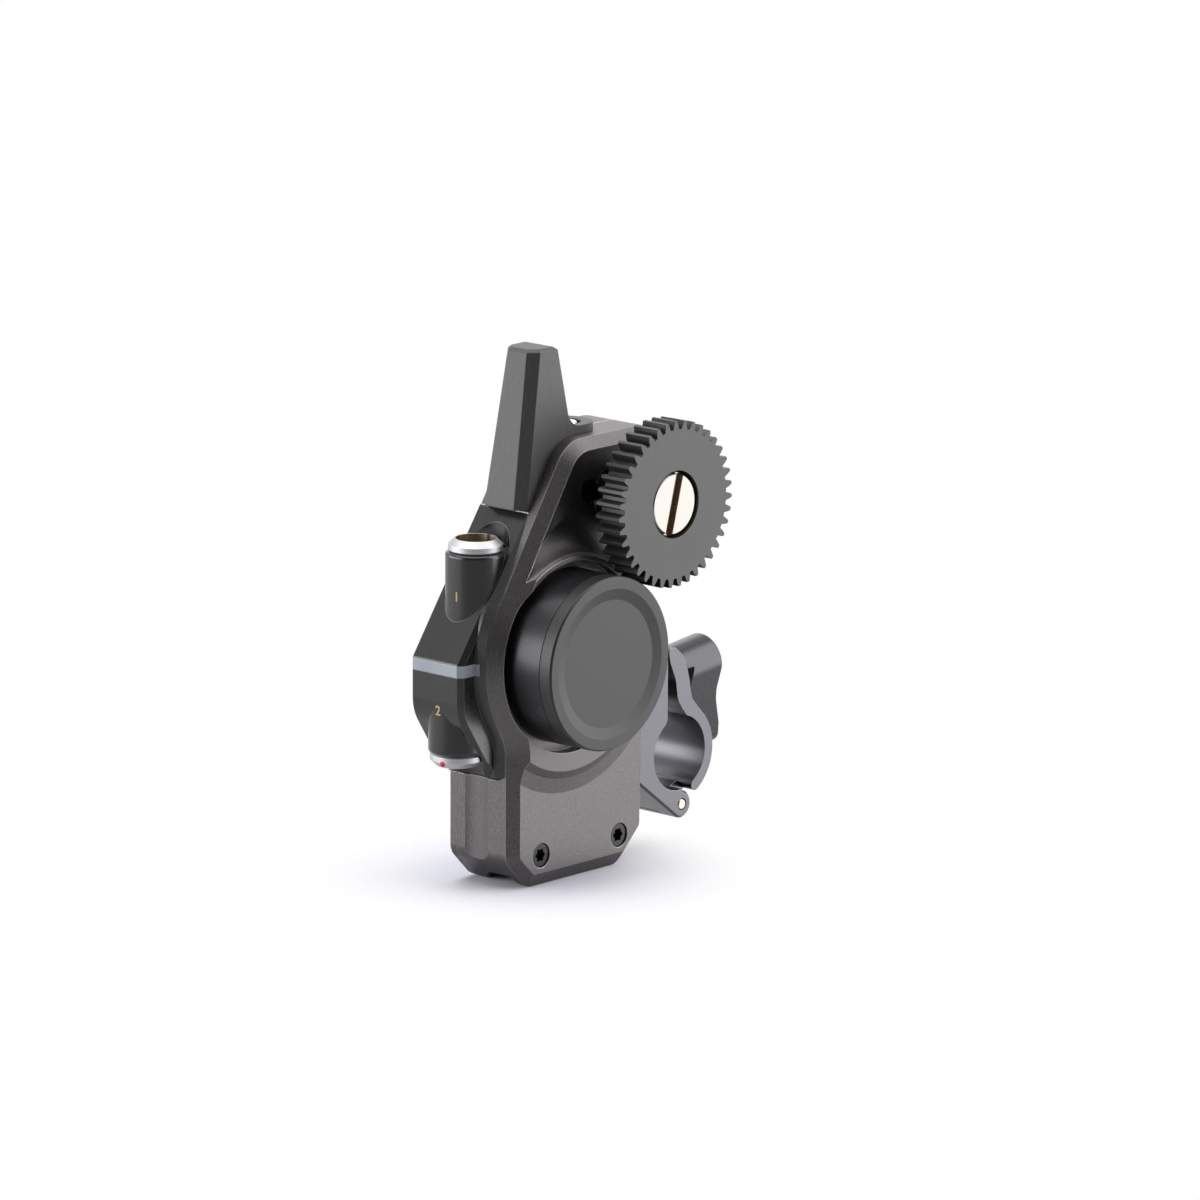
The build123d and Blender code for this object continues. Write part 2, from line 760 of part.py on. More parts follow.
def clamp_body():
    bore = Pos(0, 0) * Circle(rod_radius)
    lean = radians(underside_angle)
    foot = (hinge_x - knuckle_radius * sin(lean), hinge_z - knuckle_radius * cos(lean))
    side = make_face(Polyline((right_x, lever_tangent()), (right_x, clamp_top),
                              (split_x, clamp_top), (split_x, 0), (hinge_x, 1 - rod_radius),
                              (hinge_x, hinge_z), foot, close=True))
    knuckle = Pos(hinge_x, hinge_z) * Circle(knuckle_radius)
    solid = prism(side + knuckle - bore, clamp_front, clamp_back)
    mouth_z = (rod_radius ** 2 - split_x ** 2) ** 0.5
    mouth = solid.edges().filter_by(Axis.Y).sort_by_distance((split_x, 0, mouth_z))[0]
    solid = fillet(mouth, radius=split_round)
    nose = solid.edges().filter_by(Axis.Y).group_by(Axis.Z)[-1]
    solid = chamfer(nose, length=clamp_edge)
    front = solid.faces().sort_by(Axis.Y)[0]
    outer = front.edges().filter_by(GeomType.LINE)
    outer = [outer.sort_by_distance((right_x, clamp_front, 0))[0],
             outer.sort_by_distance(((right_x + foot[0]) / 2, clamp_front,
                                     (lever_tangent() + foot[1]) / 2))[0]]
    solid = chamfer(outer, length=clamp_edge / 2)
    mid = knuckle_width + part_gap / 2
    swing = knuckle_radius + part_gap
    fork = rod(swing, clamp_front + mid, clamp_back - mid, hinge_x, hinge_z)
    fork = fork + block(hinge_x - 0.4, hinge_x + 9, clamp_front + mid, clamp_back - mid,
                        hinge_z - 1, 0)
    solid = solid - fork - rod(hinge_pin_radius, clamp_front - 1, clamp_back + 1,
                               hinge_x, hinge_z)
    for z in clamp_screw_places:
        solid = solid - bar(cover_screw_radius + thread_fit, right_x - 1, right_x + 5, 0.0, z)
    hole = clamp_screw_radius + screw_clearance
    depth = split_x - clamp_screw_grip - 0.5
    low = bar(hole, depth, split_x + 1, 0.0, clamp_screw_z)
    high = bar(hole, depth, split_x + 1, 0.0, clamp_screw_z + screw_rise)
    slot = block(depth, split_x + 1, -hole, hole, clamp_screw_z, clamp_screw_z + screw_rise)
    return solid - low - high - slot


def jaw_face():
    """Half ring round the rod, with the ear that the knob pulls in."""
    outer = rod_radius + jaw_wall
    low = radians(jaw_end_angle)
    high = radians(62)
    far = 4 * rod_radius
    sector = make_face(Polyline((0, 0), (far * cos(low), far * sin(low)), (far, 0),
                                (far * cos(high), far * sin(high)), close=True))
    ring = (Circle(outer) - Circle(rod_radius)) & sector
    middle = rod_radius + jaw_wall / 2
    ring = ring + Pos(middle * cos(low), middle * sin(low)) * Circle(jaw_wall / 2)
    ear = rounded([
        (outer * 0.71, outer * 0.70, 0),
        (ear_outer_x + 0.5, outer + 0.6, 3.0),
        (ear_outer_x - 0.35, 14.5, 8.0),
        (ear_outer_x - 1.5, 18.8, 5.0),
        (split_x + 1.9, ear_top, 2.0),
        (split_x + part_gap, ear_top - 0.6, 0.5),
        (split_x + 0.65, ear_top - 3.0, 3.0),
        (split_x + 2.4, 14.8, 5.0),
        (split_x + 3.0, 10.8, 4.0),
        (split_x + 4.5, rod_radius + 1.1, 1.5),
        (3.0, rod_radius - 1.3, 0),
    ])
    return ring + (ear - Circle(rod_radius))


def clamp_jaw():
    solid = prism(jaw_face(), clamp_front, clamp_back)
    tongue = make_face(Polyline((hinge_x, hinge_z + knuckle_radius), (3.4, -6.9), (5.2, -5.6),
                                (6.9, -6.7), (hinge_x + 2.4, hinge_z - 1.3),
                                (hinge_x, hinge_z), close=True))
    tongue = tongue + Pos(hinge_x, hinge_z) * Circle(knuckle_radius)
    tongue = tongue - Circle(rod_radius)
    half = clamp_length / 2 - knuckle_width - part_gap / 2
    solid = solid + prism(tongue, -half, half)
    solid = solid - rod(hinge_pin_radius + running_fit, clamp_front, clamp_back, hinge_x, hinge_z)
    return solid - bar(clamp_screw_radius + running_fit, split_x, ear_outer_x + 3, 0.0,
                       clamp_screw_z)


def hinge_pin():
    pin = rod(hinge_pin_radius, clamp_front - 0.05, clamp_back + 0.05, hinge_x, hinge_z)
    return chamfer(pin.edges().filter_by(GeomType.CIRCLE), length=hinge_pin_radius * 0.28)


def clamp_screw():
    return bar(clamp_screw_radius, split_x - clamp_screw_grip, knob_collar_x + knob_screw_reach,
               0.0, clamp_screw_z)


def wing_section(big, small):
    """Section of the wing: a large lobe at the origin and a small one below, joined by tangents."""
    lean = (big - small) / lobe_spacing
    side = (1 - lean * lean) ** 0.5
    upper = Circle(big)
    lower = Pos(0, -lobe_spacing) * Circle(small)
    web = make_face(Polyline((-big * side, -big * lean), (big * side, -big * lean),
                             (small * side, -lobe_spacing - small * lean),
                             (-small * side, -lobe_spacing - small * lean), close=True))
    return upper + web + lower


def jaw_reach():
    """Room round the jaw that the turning knob leaves free, drawn in X and Z."""
    outer = rod_radius + jaw_wall + part_gap
    ear_x = ear_outer_x + 0.5 + part_gap
    top = clamp_screw_z - clamp_screw_radius / 4
    shoulder = make_face(Polyline((0, 0), (outer * 0.716, outer * 0.7), (ear_x, outer + 0.55),
                                  (ear_x, top), (0, top), close=True))
    return shoulder + Circle(outer)


def clamp_knob():
    """Leaning wing with a hollowed outer face, cut back where it passes over the jaw."""
    lean = radians(knob_lean)
    side = Plane(origin=(knob_face_x, 0, big_lobe_z), x_dir=(0, 1, 0),
                 z_dir=(cos(lean), 0, sin(lean)))
    wing = extrude(side * wing_section(big_lobe, small_lobe), amount=knob_length,
                   dir=(-cos(lean), 0, -sin(lean)))
    low = -lobe_spacing - small_lobe - 1
    profile = [
        (-knob_length - 1, big_lobe + 1, 0),
        (0, big_lobe + 1, 0),
        (0, -1.2, 2.0),
        (-knob_hollow, -lobe_spacing * 0.37, 5.0),
        (-knob_hollow, -lobe_spacing * 0.52, 5.0),
        (0, -lobe_spacing * 0.89, 2.0),
        (0, low, 0),
        (-knob_length - 1, low, 0),
    ]
    outline_xz = rounded([(knob_face_x + out * cos(lean) - up * sin(lean),
                           big_lobe_z + out * sin(lean) + up * cos(lean), r)
                          for out, up, r in profile])
    wing = wing & prism(outline_xz, -big_lobe - 1, big_lobe + 1)
    screw_axis = Axis((0, 0, clamp_screw_z), (1, 0, 0))
    upright = Plane(origin=(0, 0, 0), x_dir=(1, 0, 0), z_dir=(0, -1, 0))
    swing = 2 * knob_half_swing + 120
    swept = revolve(upright * jaw_reach(), axis=screw_axis, revolution_arc=swing)
    wing = wing - swept.rotate(screw_axis, -swing / 2)
    wing = wing + bar(knob_collar_radius, knob_collar_x, knob_collar_x + 3.0, 0.0, clamp_screw_z)
    return wing - bar(clamp_screw_radius, knob_collar_x - 1, knob_collar_x + knob_screw_reach,
                      0.0, clamp_screw_z)


# Port block with its sockets and light strip

def sockets():
    """Axis, mouth height and pointing direction of the two sockets."""
    return ((upper_port_x, upper_port_z, 1), (lower_port_x, lower_port_z, -1))


def along(x, z, way, near, far, radius):
    """Vertical cylinder between two depths below a socket's mouth."""
    ends = sorted((z - way * near, z - way * far))
    return post(radius, ends[0], ends[1], x, port_y)


def port_bosses():
    """Round bosses that carry the two sockets."""
    reach = block(block_left_x - 1, right_x, block_front_y, block_rear_y, block_base_z, block_top_z)
    bosses = None
    for x, z, way in sockets():
        radius = min(port_boss_radius, x - block_left_x - nose_cover)
        boss = along(x, z, way, port_ring_height, boss_length, radius)
        mouth = boss.edges().filter_by(GeomType.CIRCLE).sort_by(Axis.Z)[-1 if way > 0 else 0]
        boss = fillet(mouth, radius=port_boss_round) & reach
        bosses = boss if bosses is None else bosses + boss
    return bosses


def block_flank():
    """Slanted lip of the port block along the edge of the front cover."""
    face = shrunk(housing_face, -flank_width) & block_face()
    plane = Plane(origin=(0, block_front_y, 0), x_dir=(1, 0, 0), z_dir=(0, -1, 0))
    lip = extrude(plane * face, amount=block_front_y - edge_y, taper=flank_lean)
    lip = lip + prism(face, block_front_y, block_front_y + block_bevel)
    return lip - prism(housing_face, edge_y - 1, block_front_y + block_bevel + 1)


def port_blank():
    solid = prism(block_face(), block_front_y, block_rear_y)
    front = solid.faces().sort_by(Axis.Y)[0]
    inside = prism(inner_face, block_front_y - 1, block_rear_y + 1)
    solid = chamfer(front.edges(), length=block_bevel) + port_bosses() + block_flank() - inside
    scoop = along(upper_port_x, upper_port_z, 1, -9.0, port_ring_height, scoop_radius)
    notch = along(lower_port_x, lower_port_z, -1, -9.0, port_ring_height,
                  port_ring_radius + 0.5)
    solid = solid - scoop - notch
    for x, z, way in sockets():
        solid = solid - along(x, z, way, 0.0, port_depth, shell_radius)
    return solid


def strip_space():
    """Room of the light strip: round the nose and along the front face."""
    low = motor_z + 1.35 - strip_height
    high = motor_z + 1.35
    face = block_face()
    band = face - shrunk(face, strip_depth)
    side = prism(band, block_front_y - 1, block_rear_y + 1)
    side = side & block(block_left_x - 1, block_left_x + 3, block_front_y - 1, block_rear_y + 1,
                        low, high)
    front = block(block_left_x - 1, block_left_x + strip_reach, block_front_y - 1,
                  block_front_y + strip_depth, low, high)
    return side + front


def emitter_space():
    middle = motor_z + 1.35 - strip_height / 2
    return block(block_left_x + strip_depth, block_left_x + strip_depth + 1.4,
                 port_y - 4.5, port_y + 4.5, middle - 0.9, middle + 0.9)


def port_block():
    return port_blank() - strip_space() - emitter_space()


def light_strip():
    return port_blank() & strip_space()


def light_emitters():
    return emitter_space()


def foot_edge(ring, way):
    """Circle of a ring that lies furthest from the socket's mouth."""
    return ring.edges().filter_by(GeomType.CIRCLE).sort_by(Axis.Z)[0 if way > 0 else -1]


def socket_shell(x, z, way):
    solid = along(x, z, way, 0.0, port_ring_height, port_ring_radius)
    solid = chamfer(foot_edge(solid, -way), length=ring_slope)
    solid = chamfer(foot_edge(solid, way), length=ring_edge)
    solid = solid + along(x, z, way, port_ring_height, port_depth, shell_radius)
    solid = solid - along(x, z, way, -1.0, port_depth + 1, port_bore_radius)
    ends = sorted((z + way, z - way * (port_depth - 4)))
    return solid - block(x, x + port_bore_radius + keyway_depth, port_y - keyway_width / 2,
                         port_y + keyway_width / 2, ends[0], ends[1])


def socket_insert(x, z, way):
    disc = along(x, z, way, port_depth - 3.5, port_depth, port_bore_radius)
    for px, py in pin_places(x):
        ends = sorted((z - way * (port_depth - 4), z - way * (port_depth + 1)))
        disc = disc - post(pin_radius, ends[0], ends[1], px, py)
    return disc


def pin_places(x):
    places = [(x, port_y)]
    for k in range(pin_count - 1):
        turn = 2 * pi * k / (pin_count - 1)
        places.append((x + 2.1 * cos(turn), port_y + 2.1 * sin(turn)))
    return places


def socket_pins(x, z, way):
    pins = []
    for px, py in pin_places(x):
        ends = sorted((z - way * pin_top_depth, z - way * port_depth))
        pins.append(post(pin_radius, ends[0], ends[1], px, py))
    return Compound(children=pins)


# Antenna fin and button

def fin_side():
    """The mast seen from the front, with the pad that it flares into."""
    height = fin_top_z - fin_base_z
    top_left = fin_left_x + height * tan(radians(fin_lean))
    top_right = top_left + fin_top_width
    pad_z = top_z + pad_height
    flare_x = top_right + (fin_top_z - pad_z) * tan(radians(fin_lean + fin_spread))
    return rounded([
        (fin_left_x, fin_base_z, 0),
        (pad_right_x, fin_base_z, 0),
        (pad_right_x, pad_z, 0),
        (flare_x, pad_z, fin_flare),
        (top_right, fin_top_z, 0),
        (top_left, fin_top_z, 0),
    ])


def fin_depth_view():
    """The mast seen from the side, narrower at the top, drawn in Y and Z."""
    rear = fin_front_y + fin_depth
    return make_face(Polyline((fin_front_y, fin_base_z), (rear, fin_base_z),
                              (rear - fin_taper, fin_top_z), (fin_front_y + fin_taper, fin_top_z),
                              close=True))


def antenna_fin():
    """Tapered mast with bevelled left corners, and the pad round the button."""
    plane = Plane(origin=(fin_left_x - 1, 0, 0), x_dir=(0, 1, 0), z_dir=(1, 0, 0))
    solid = prism(fin_side(), fin_front_y - 1, fin_front_y + fin_depth + 1)
    solid = solid & extrude(plane * fin_depth_view(), amount=beyond, dir=(1, 0, 0))
    end = solid.faces().sort_by(Axis.X)[-1]
    upright = [edge for edge in end.edges() if abs((edge @ 1 - edge @ 0).Z) > pad_corner]
    solid = fillet(upright, radius=pad_corner)
    left = solid.faces().sort_by(Axis.X)[0]
    solid = chamfer(left.edges().sort_by(Edge.length)[-2:], length=fin_chamfer)
    crown = solid.faces().sort_by(Axis.Z)[-1]
    solid = chamfer(crown.edges(), length=fin_crown)
    pad_z = top_z + pad_height
    solid = solid - prism(housing_face, fin_front_y - 1, rear_y + 1)
    solid = solid - post(button_radius + button_groove, top_z - 1, pad_z + 1, button_x, button_y)
    return solid - antenna_space()


def antenna_space():
    height = fin_top_z - fin_base_z
    left = fin_left_x + height * tan(radians(fin_lean)) + 2.0
    return block(left, left + 3.0, fin_middle_y - 0.4, fin_middle_y + 0.4,
                 top_z + 1.5, fin_top_z - 2.0)


def button():
    top = top_z + pad_height
    cap = post(button_radius, top_z + button_travel + 0.15, top, button_x, button_y)
    cap = chamfer(cap.faces().sort_by(Axis.Z)[-1].edges(), length=0.2)
    return cap + post(button_stem_radius, switch_z() + button_travel + 0.1, top - 0.3,
                      button_x, button_y)


def switch_z():
    """Top of the switch's plunger, under the top wall."""
    return top_z - cover_wall - 1.6


def button_switch():
    """Tact switch that hangs in its cage from the top wall."""
    half = 2.6
    ceiling = top_z - cover_wall
    cage = block(button_x - half, button_x + half, button_y - half, button_y + half,
                 switch_z() - 2.0, ceiling)
    cage = cage - block(button_x - half + 0.5, button_x + half - 0.5, button_y - half - 1,
                        button_y + half + 1, switch_z(), ceiling + 1)
    return cage


# Circuit board

def circuit_board():
    left = motor_x - 6.0
    right = motor_x + 14.4
    low = base_z + 10.4
    high = motor_z + 6.0
    board = block(left, right, board_y, board_y + board_thickness, low, high)
    for x, z in board_screw_places:
        board = board - rod(1.05, board_y - 1, board_y + 2, x, z)
    return board


def board_chips():
    """Processor, driver and encoder chips; the encoder faces the magnet on the motor shaft."""
    chips = [
        block(motor_x + 1, motor_x + 7, board_y - 0.9, board_y, motor_z - 22, motor_z - 16),
        block(motor_x - 4, motor_x + 1, board_y - 0.9, board_y, motor_z - 12, motor_z - 7),
        block(motor_x - 1.5, motor_x + 1.5, board_y - 0.8, board_y, motor_z - 1.5, motor_z + 1.5),
    ]
    return Compound(children=chips)


# Screws

def lobed(outer):
    """Six-lobe socket outline."""
    face = Circle(outer * 0.8)
    for k in range(6):
        turn = 2 * pi * k / 6
        face = face + Pos(outer * 0.72 * cos(turn), outer * 0.72 * sin(turn)) * Circle(outer * 0.28)
    return face


def machine_screw(x, z, way, seat_y, head_height, shank_end, shank=None):
    """Screw along Y; way is +1 for a head that faces the front, -1 for the rear."""
    radius = shank or cover_screw_radius
    top = seat_y - way * head_height
    ends = sorted((top, seat_y))
    head = rod(cover_screw_head, ends[0], ends[1], x, z)
    ends = sorted((top, top + way * head_height * 0.7))
    socket = prism(lobed(torx_radius), ends[0], ends[1])
    ends = sorted((seat_y, shank_end))
    return head - Pos(x, 0, z) * socket + rod(radius, ends[0], ends[1], x, z)


def cover_screws():
    seat = plate_y + 2.0
    return Compound(children=[machine_screw(x, cover_screw_z, 1, seat, 1.7, rear_y - 1.0)
                              for x in cover_screw_x])


def recess_screw():
    x, z = recess_screw_place()
    return machine_screw(x, z, 1, recess_floor_y + 1.0, 0.9, cavity_y + 0.8)


def rear_screws():
    return Compound(children=[machine_screw(x, z, -1, rear_y - 1.6, 1.4, cavity_y + 1.2)
                              for x, z in rear_screw_places])


def board_screws():
    seat = board_y + board_thickness
    return Compound(children=[machine_screw(x, z, -1, seat, 1.2, board_y - 3, 1.0)
                              for x, z in board_screw_places])


def clamp_screws():
    inner = right_x - cover_wall
    screws = []
    for z in clamp_screw_places:
        head = bar(cover_screw_head, inner - 1.6, inner, 0.0, z)
        screws.append(head + bar(cover_screw_radius, inner, right_x + 4.5, 0.0, z))
    return Compound(children=screws)


def main():
    os.makedirs("parts", exist_ok=True)
    save(front_cover(), "front_cover")
    save(rear_cover(), "rear_cover")
    save(motor_can(), "motor_can")
    save(motor_cap(), "motor_cap")
    save(motor_bush(cap_back_y - 1.2, cap_back_y + 0.8), "motor_front_bush")
    save(motor_bush(can_back_y - 2.0, can_back_y), "motor_rear_bush")
    save(motor_stator(), "motor_stator")
    save(motor_magnet(), "motor_magnet")
    save(motor_shaft(), "motor_shaft")
    save(encoder_magnet(), "encoder_magnet")
    save(motor_pinion(), "motor_pinion")
    save(double_idler(idler1, 0, phase_1, small_module, pinion_phase_1), "first_idler")
    save(double_idler(idler2, 1, phase_2, last_module, pinion_phase_2), "second_idler")
    save(idler_pin(idler1), "first_idler_pin")
    save(idler_pin(idler2), "second_idler_pin")
    save(output_wheel(), "output_wheel")
    save(output_shaft(), "output_shaft")
    save(shaft_bearing(bearing_boss_y, bearing_boss_y + bearing_width), "output_front_bearing")
    save(shaft_bearing(rear_bearing_y, rear_bearing_y + rear_bearing_width),
         "output_rear_bearing")
    save(drive_gear(), "drive_gear")
    save(gear_screw(), "gear_screw")
    save(clamp_body(), "clamp_body")
    save(clamp_screws(), "clamp_mount_screws")
    save(hinge_pin(), "hinge_pin")
    save(clamp_jaw(), "clamp_jaw")
    save(clamp_knob(), "clamp_knob")
    save(clamp_screw(), "clamp_screw")
    save(port_block(), "port_block")
    save(light_strip(), "light_strip")
    save(light_emitters(), "light_emitters")
    for name, place in zip(("upper", "lower"), sockets()):
        save(socket_shell(*place), name + "_socket_shell")
        save(socket_insert(*place), name + "_socket_insert")
        save(socket_pins(*place), name + "_socket_pins")
    save(antenna_fin(), "antenna_fin")
    save(antenna_space(), "antenna_strip")
    save(button(), "button")
    save(button_switch(), "button_switch")
    save(circuit_board(), "circuit_board")
    save(board_chips(), "board_chips")
    save(cover_screws(), "cover_screws")
    save(recess_screw(), "recess_screw")
    save(rear_screws(), "rear_screws")
    save(board_screws(), "board_screws")


main()
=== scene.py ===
import bmesh
import bpy
import numpy as np
from mathutils import Matrix, Vector


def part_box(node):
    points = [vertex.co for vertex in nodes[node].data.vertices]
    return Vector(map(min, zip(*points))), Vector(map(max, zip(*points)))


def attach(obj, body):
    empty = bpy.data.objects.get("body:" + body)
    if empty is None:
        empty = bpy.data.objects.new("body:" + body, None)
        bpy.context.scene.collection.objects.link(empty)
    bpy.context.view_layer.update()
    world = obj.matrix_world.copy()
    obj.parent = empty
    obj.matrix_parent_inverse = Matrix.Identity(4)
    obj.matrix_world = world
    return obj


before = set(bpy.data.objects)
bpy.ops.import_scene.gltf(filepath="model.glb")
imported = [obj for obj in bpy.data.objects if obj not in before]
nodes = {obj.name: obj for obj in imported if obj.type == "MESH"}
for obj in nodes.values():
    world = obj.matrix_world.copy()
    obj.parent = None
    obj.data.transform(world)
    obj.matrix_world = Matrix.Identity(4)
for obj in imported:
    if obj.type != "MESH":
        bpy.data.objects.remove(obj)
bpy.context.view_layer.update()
mm = 0.001
print("frame loaded:", len(nodes), "nodes")


def linear(code):
    # sRGB hex to linear: c / 12.92 below 0.04045, else ((c + 0.055) / 1.055) to the power 2.4
    c = np.array([int(code[i:i + 2], 16) for i in (1, 3, 5)]) / 255
    return (*np.where(c <= 0.04045, c / 12.92, ((c + 0.055) / 1.055) ** 2.4), 1.0)


def addNode(tree, kind, settings=None, links=None):
    # adds one node: settings are its properties or sockets, links are sockets to other outputs;
    # a hex code becomes a colour, and stops are the places and colours of a colour ramp
    node = tree.nodes.new(kind)
    for key, value in (settings or {}).items():
        if key == "stops":
            for element, (place, code) in zip(node.color_ramp.elements, value):
                element.position = place
                element.color = linear(code)
        elif isinstance(key, str) and hasattr(node, key):
            setattr(node, key, value)
        else:
            node.inputs[key].default_value = linear(value) if isinstance(value, str) else value
    for key, output in (links or {}).items():
        tree.links.new(output, node.inputs[key])
    return node


def newMaterial(name, **sockets):
    # a material with one Principled shader, its constants on the shader's own sockets
    material = bpy.data.materials.new(name)
    material.use_nodes = True
    tree = material.node_tree
    shader = tree.nodes["Principled BSDF"]
    for key, value in sockets.items():
        shader.inputs[key].default_value = value
    return material, tree, shader


def gridFaces(ringCount, sideCount):
    # four-sided faces between rings of points, from the inner ring outwards, each ring closed
    i, k = np.meshgrid(np.arange(ringCount - 1), np.arange(sideCount), indexing="ij")
    j = (k + 1) % sideCount
    corners = [i * sideCount + k, (i + 1) * sideCount + k, (i + 1) * sideCount + j,
               i * sideCount + j]
    return np.stack(corners, axis=-1).reshape(-1, 4)


# the photograph's camera, found from the gear, the motor cap and the straight edges
view = {
    "azimuth": 47.792, "elevation": 12.688, "roll": 0.292,      # degrees
    "distance": 1662.47, "aside": -14.59, "above": -18.38,      # millimetres from the aim
    "aim": (-16.2, -20.3, 54.25),                               # middle of the gear's front face
    "lens": 259.0, "sensor": 36.0,                              # millimetres
    "nearest": 0.05, "farthest": 20.0,                          # metres between which it sees
}


def makeCamera():
    a, e, roll = np.radians([view["azimuth"], view["elevation"], view["roll"]])
    right = np.array([np.cos(a), -np.sin(a), 0])
    up = np.array([np.sin(e) * np.sin(a), np.sin(e) * np.cos(a), np.cos(e)])
    back = np.array([-np.sin(a) * np.cos(e), -np.cos(a) * np.cos(e), np.sin(e)])
    right, up = (np.cos(roll) * right + np.sin(roll) * up,
                 np.cos(roll) * up - np.sin(roll) * right)
    place = np.array(view["aim"]) + view["distance"] * back
    place = place + view["aside"] * right + view["above"] * up
    data = bpy.data.cameras.new("camera")
    data.lens = view["lens"]
    data.sensor_width = view["sensor"]
    data.clip_start = view["nearest"]
    data.clip_end = view["farthest"]
    camera = bpy.data.objects.new("camera", data)
    turn = Matrix([[right[i], up[i], back[i]] for i in range(3)])
    camera.matrix_world = Matrix.Translation(Vector(place * mm)) @ turn.to_4x4()
    bpy.context.scene.collection.objects.link(camera)
    bpy.context.scene.camera = camera


lampTarget = (-0.02, 0, 0.03)   # metres: the point in the object that every lamp faces
lamps = {                       # direction to the lamp, distance in metres, size in metres, watts
    "leftSoftbox": ((-0.76, 0.66, 0.15), 0.80, (0.95, 0.40), 7.0),
    "rightSoftbox": ((0.74, -0.68, 0.32), 0.80, (0.85, 1.20), 12.0),
    "topSoftbox": ((0.0, 0.20, 1.0), 0.80, (0.9, 0.9), 7.5),
    "backSoftbox": ((0.74, 0.68, 0.42), 0.90, (0.6, 0.4), 0.8),
}


def makeLamps():
    for name, (way, far, size, watts) in lamps.items():
        data = bpy.data.lights.new(name, "AREA")
        data.shape = "RECTANGLE"
        data.size, data.size_y = size
        data.energy = watts
        lamp = bpy.data.objects.new(name, data)
        lamp.location = Vector(lampTarget) + Vector(way).normalized() * far
        lamp.rotation_mode = "QUATERNION"
        lamp.rotation_quaternion = Vector(way).to_track_quat("Z", "Y")
        lamp.visible_camera = False
        bpy.context.scene.collection.objects.link(lamp)


world = {
    "colour": "#ffffff",
    "diffuse": 0.22,                    # what the white room gives matt surfaces
    "curtain": (-0.74, -0.67, 0.05),    # way to a dark curtain that only reflections see
    "curtainLevel": 0.10,               # how bright the curtain is, where the white room is 1
    "curtainEdge": (0.35, 0.80),        # cosines to that way where it starts and where it is full
    "curtainFoot": (-0.30, -0.06),      # heights of a way, from the white table up to the curtain
}


def makeWorld():
    # white to the eye, a soft light on matt surfaces, and a curtain for what shines
    studio = bpy.data.worlds.new("whiteStudio")
    bpy.context.scene.world = studio
    studio.use_nodes = True
    tree = studio.node_tree
    tree.nodes.clear()
    path = addNode(tree, "ShaderNodeLightPath").outputs
    way = addNode(tree, "ShaderNodeTexCoord").outputs["Generated"]
    curtain = Vector(world["curtain"]).normalized()
    edge, foot = world["curtainEdge"], world["curtainFoot"]
    towards = addNode(tree, "ShaderNodeVectorMath", {"operation": "DOT_PRODUCT", 1: curtain},
                      {0: way})
    covered = addNode(tree, "ShaderNodeMapRange", {"From Min": edge[0], "From Max": edge[1]},
                      {"Value": towards.outputs["Value"]})
    height = addNode(tree, "ShaderNodeSeparateXYZ", {}, {0: way}).outputs["Z"]
    above = addNode(tree, "ShaderNodeMapRange", {"From Min": foot[0], "From Max": foot[1]},
                    {"Value": height})
    dark = addNode(tree, "ShaderNodeMath", {"operation": "MULTIPLY"},
                   {0: covered.outputs[0], 1: above.outputs[0]})
    level = addNode(tree, "ShaderNodeMapRange", {"To Min": 1.0, "To Max": world["curtainLevel"]},
                    {"Value": dark.outputs[0]})
    mirrored = addNode(tree, "ShaderNodeMath", {"operation": "MAXIMUM"},
                       {0: path["Is Glossy Ray"], 1: path["Is Transmission Ray"]})
    lit = addNode(tree, "ShaderNodeBackground",
                  {"Color": world["colour"], "Strength": world["diffuse"]})
    reflected = addNode(tree, "ShaderNodeBackground", {"Color": world["colour"]},
                        {"Strength": level.outputs[0]})
    seen = addNode(tree, "ShaderNodeBackground", {"Color": world["colour"], "Strength": 1.0})
    onObject = addNode(tree, "ShaderNodeMixShader", {},
                       {0: mirrored.outputs[0], 1: lit.outputs[0], 2: reflected.outputs[0]})
    whole = addNode(tree, "ShaderNodeMixShader", {},
                    {0: path["Is Camera Ray"], 1: onObject.outputs[0], 2: seen.outputs[0]})
    addNode(tree, "ShaderNodeOutputWorld", {}, {"Surface": whole.outputs[0]})


floor = {
    "radius": 0.40,             # metres
    "rings": 12, "sides": 96,
    "middle": (-0.035, 0.0),
    "fade": (0.012, 0.046),     # metres from the middle, over which it turns into the white room
    "paper": "#dcdce5",
}


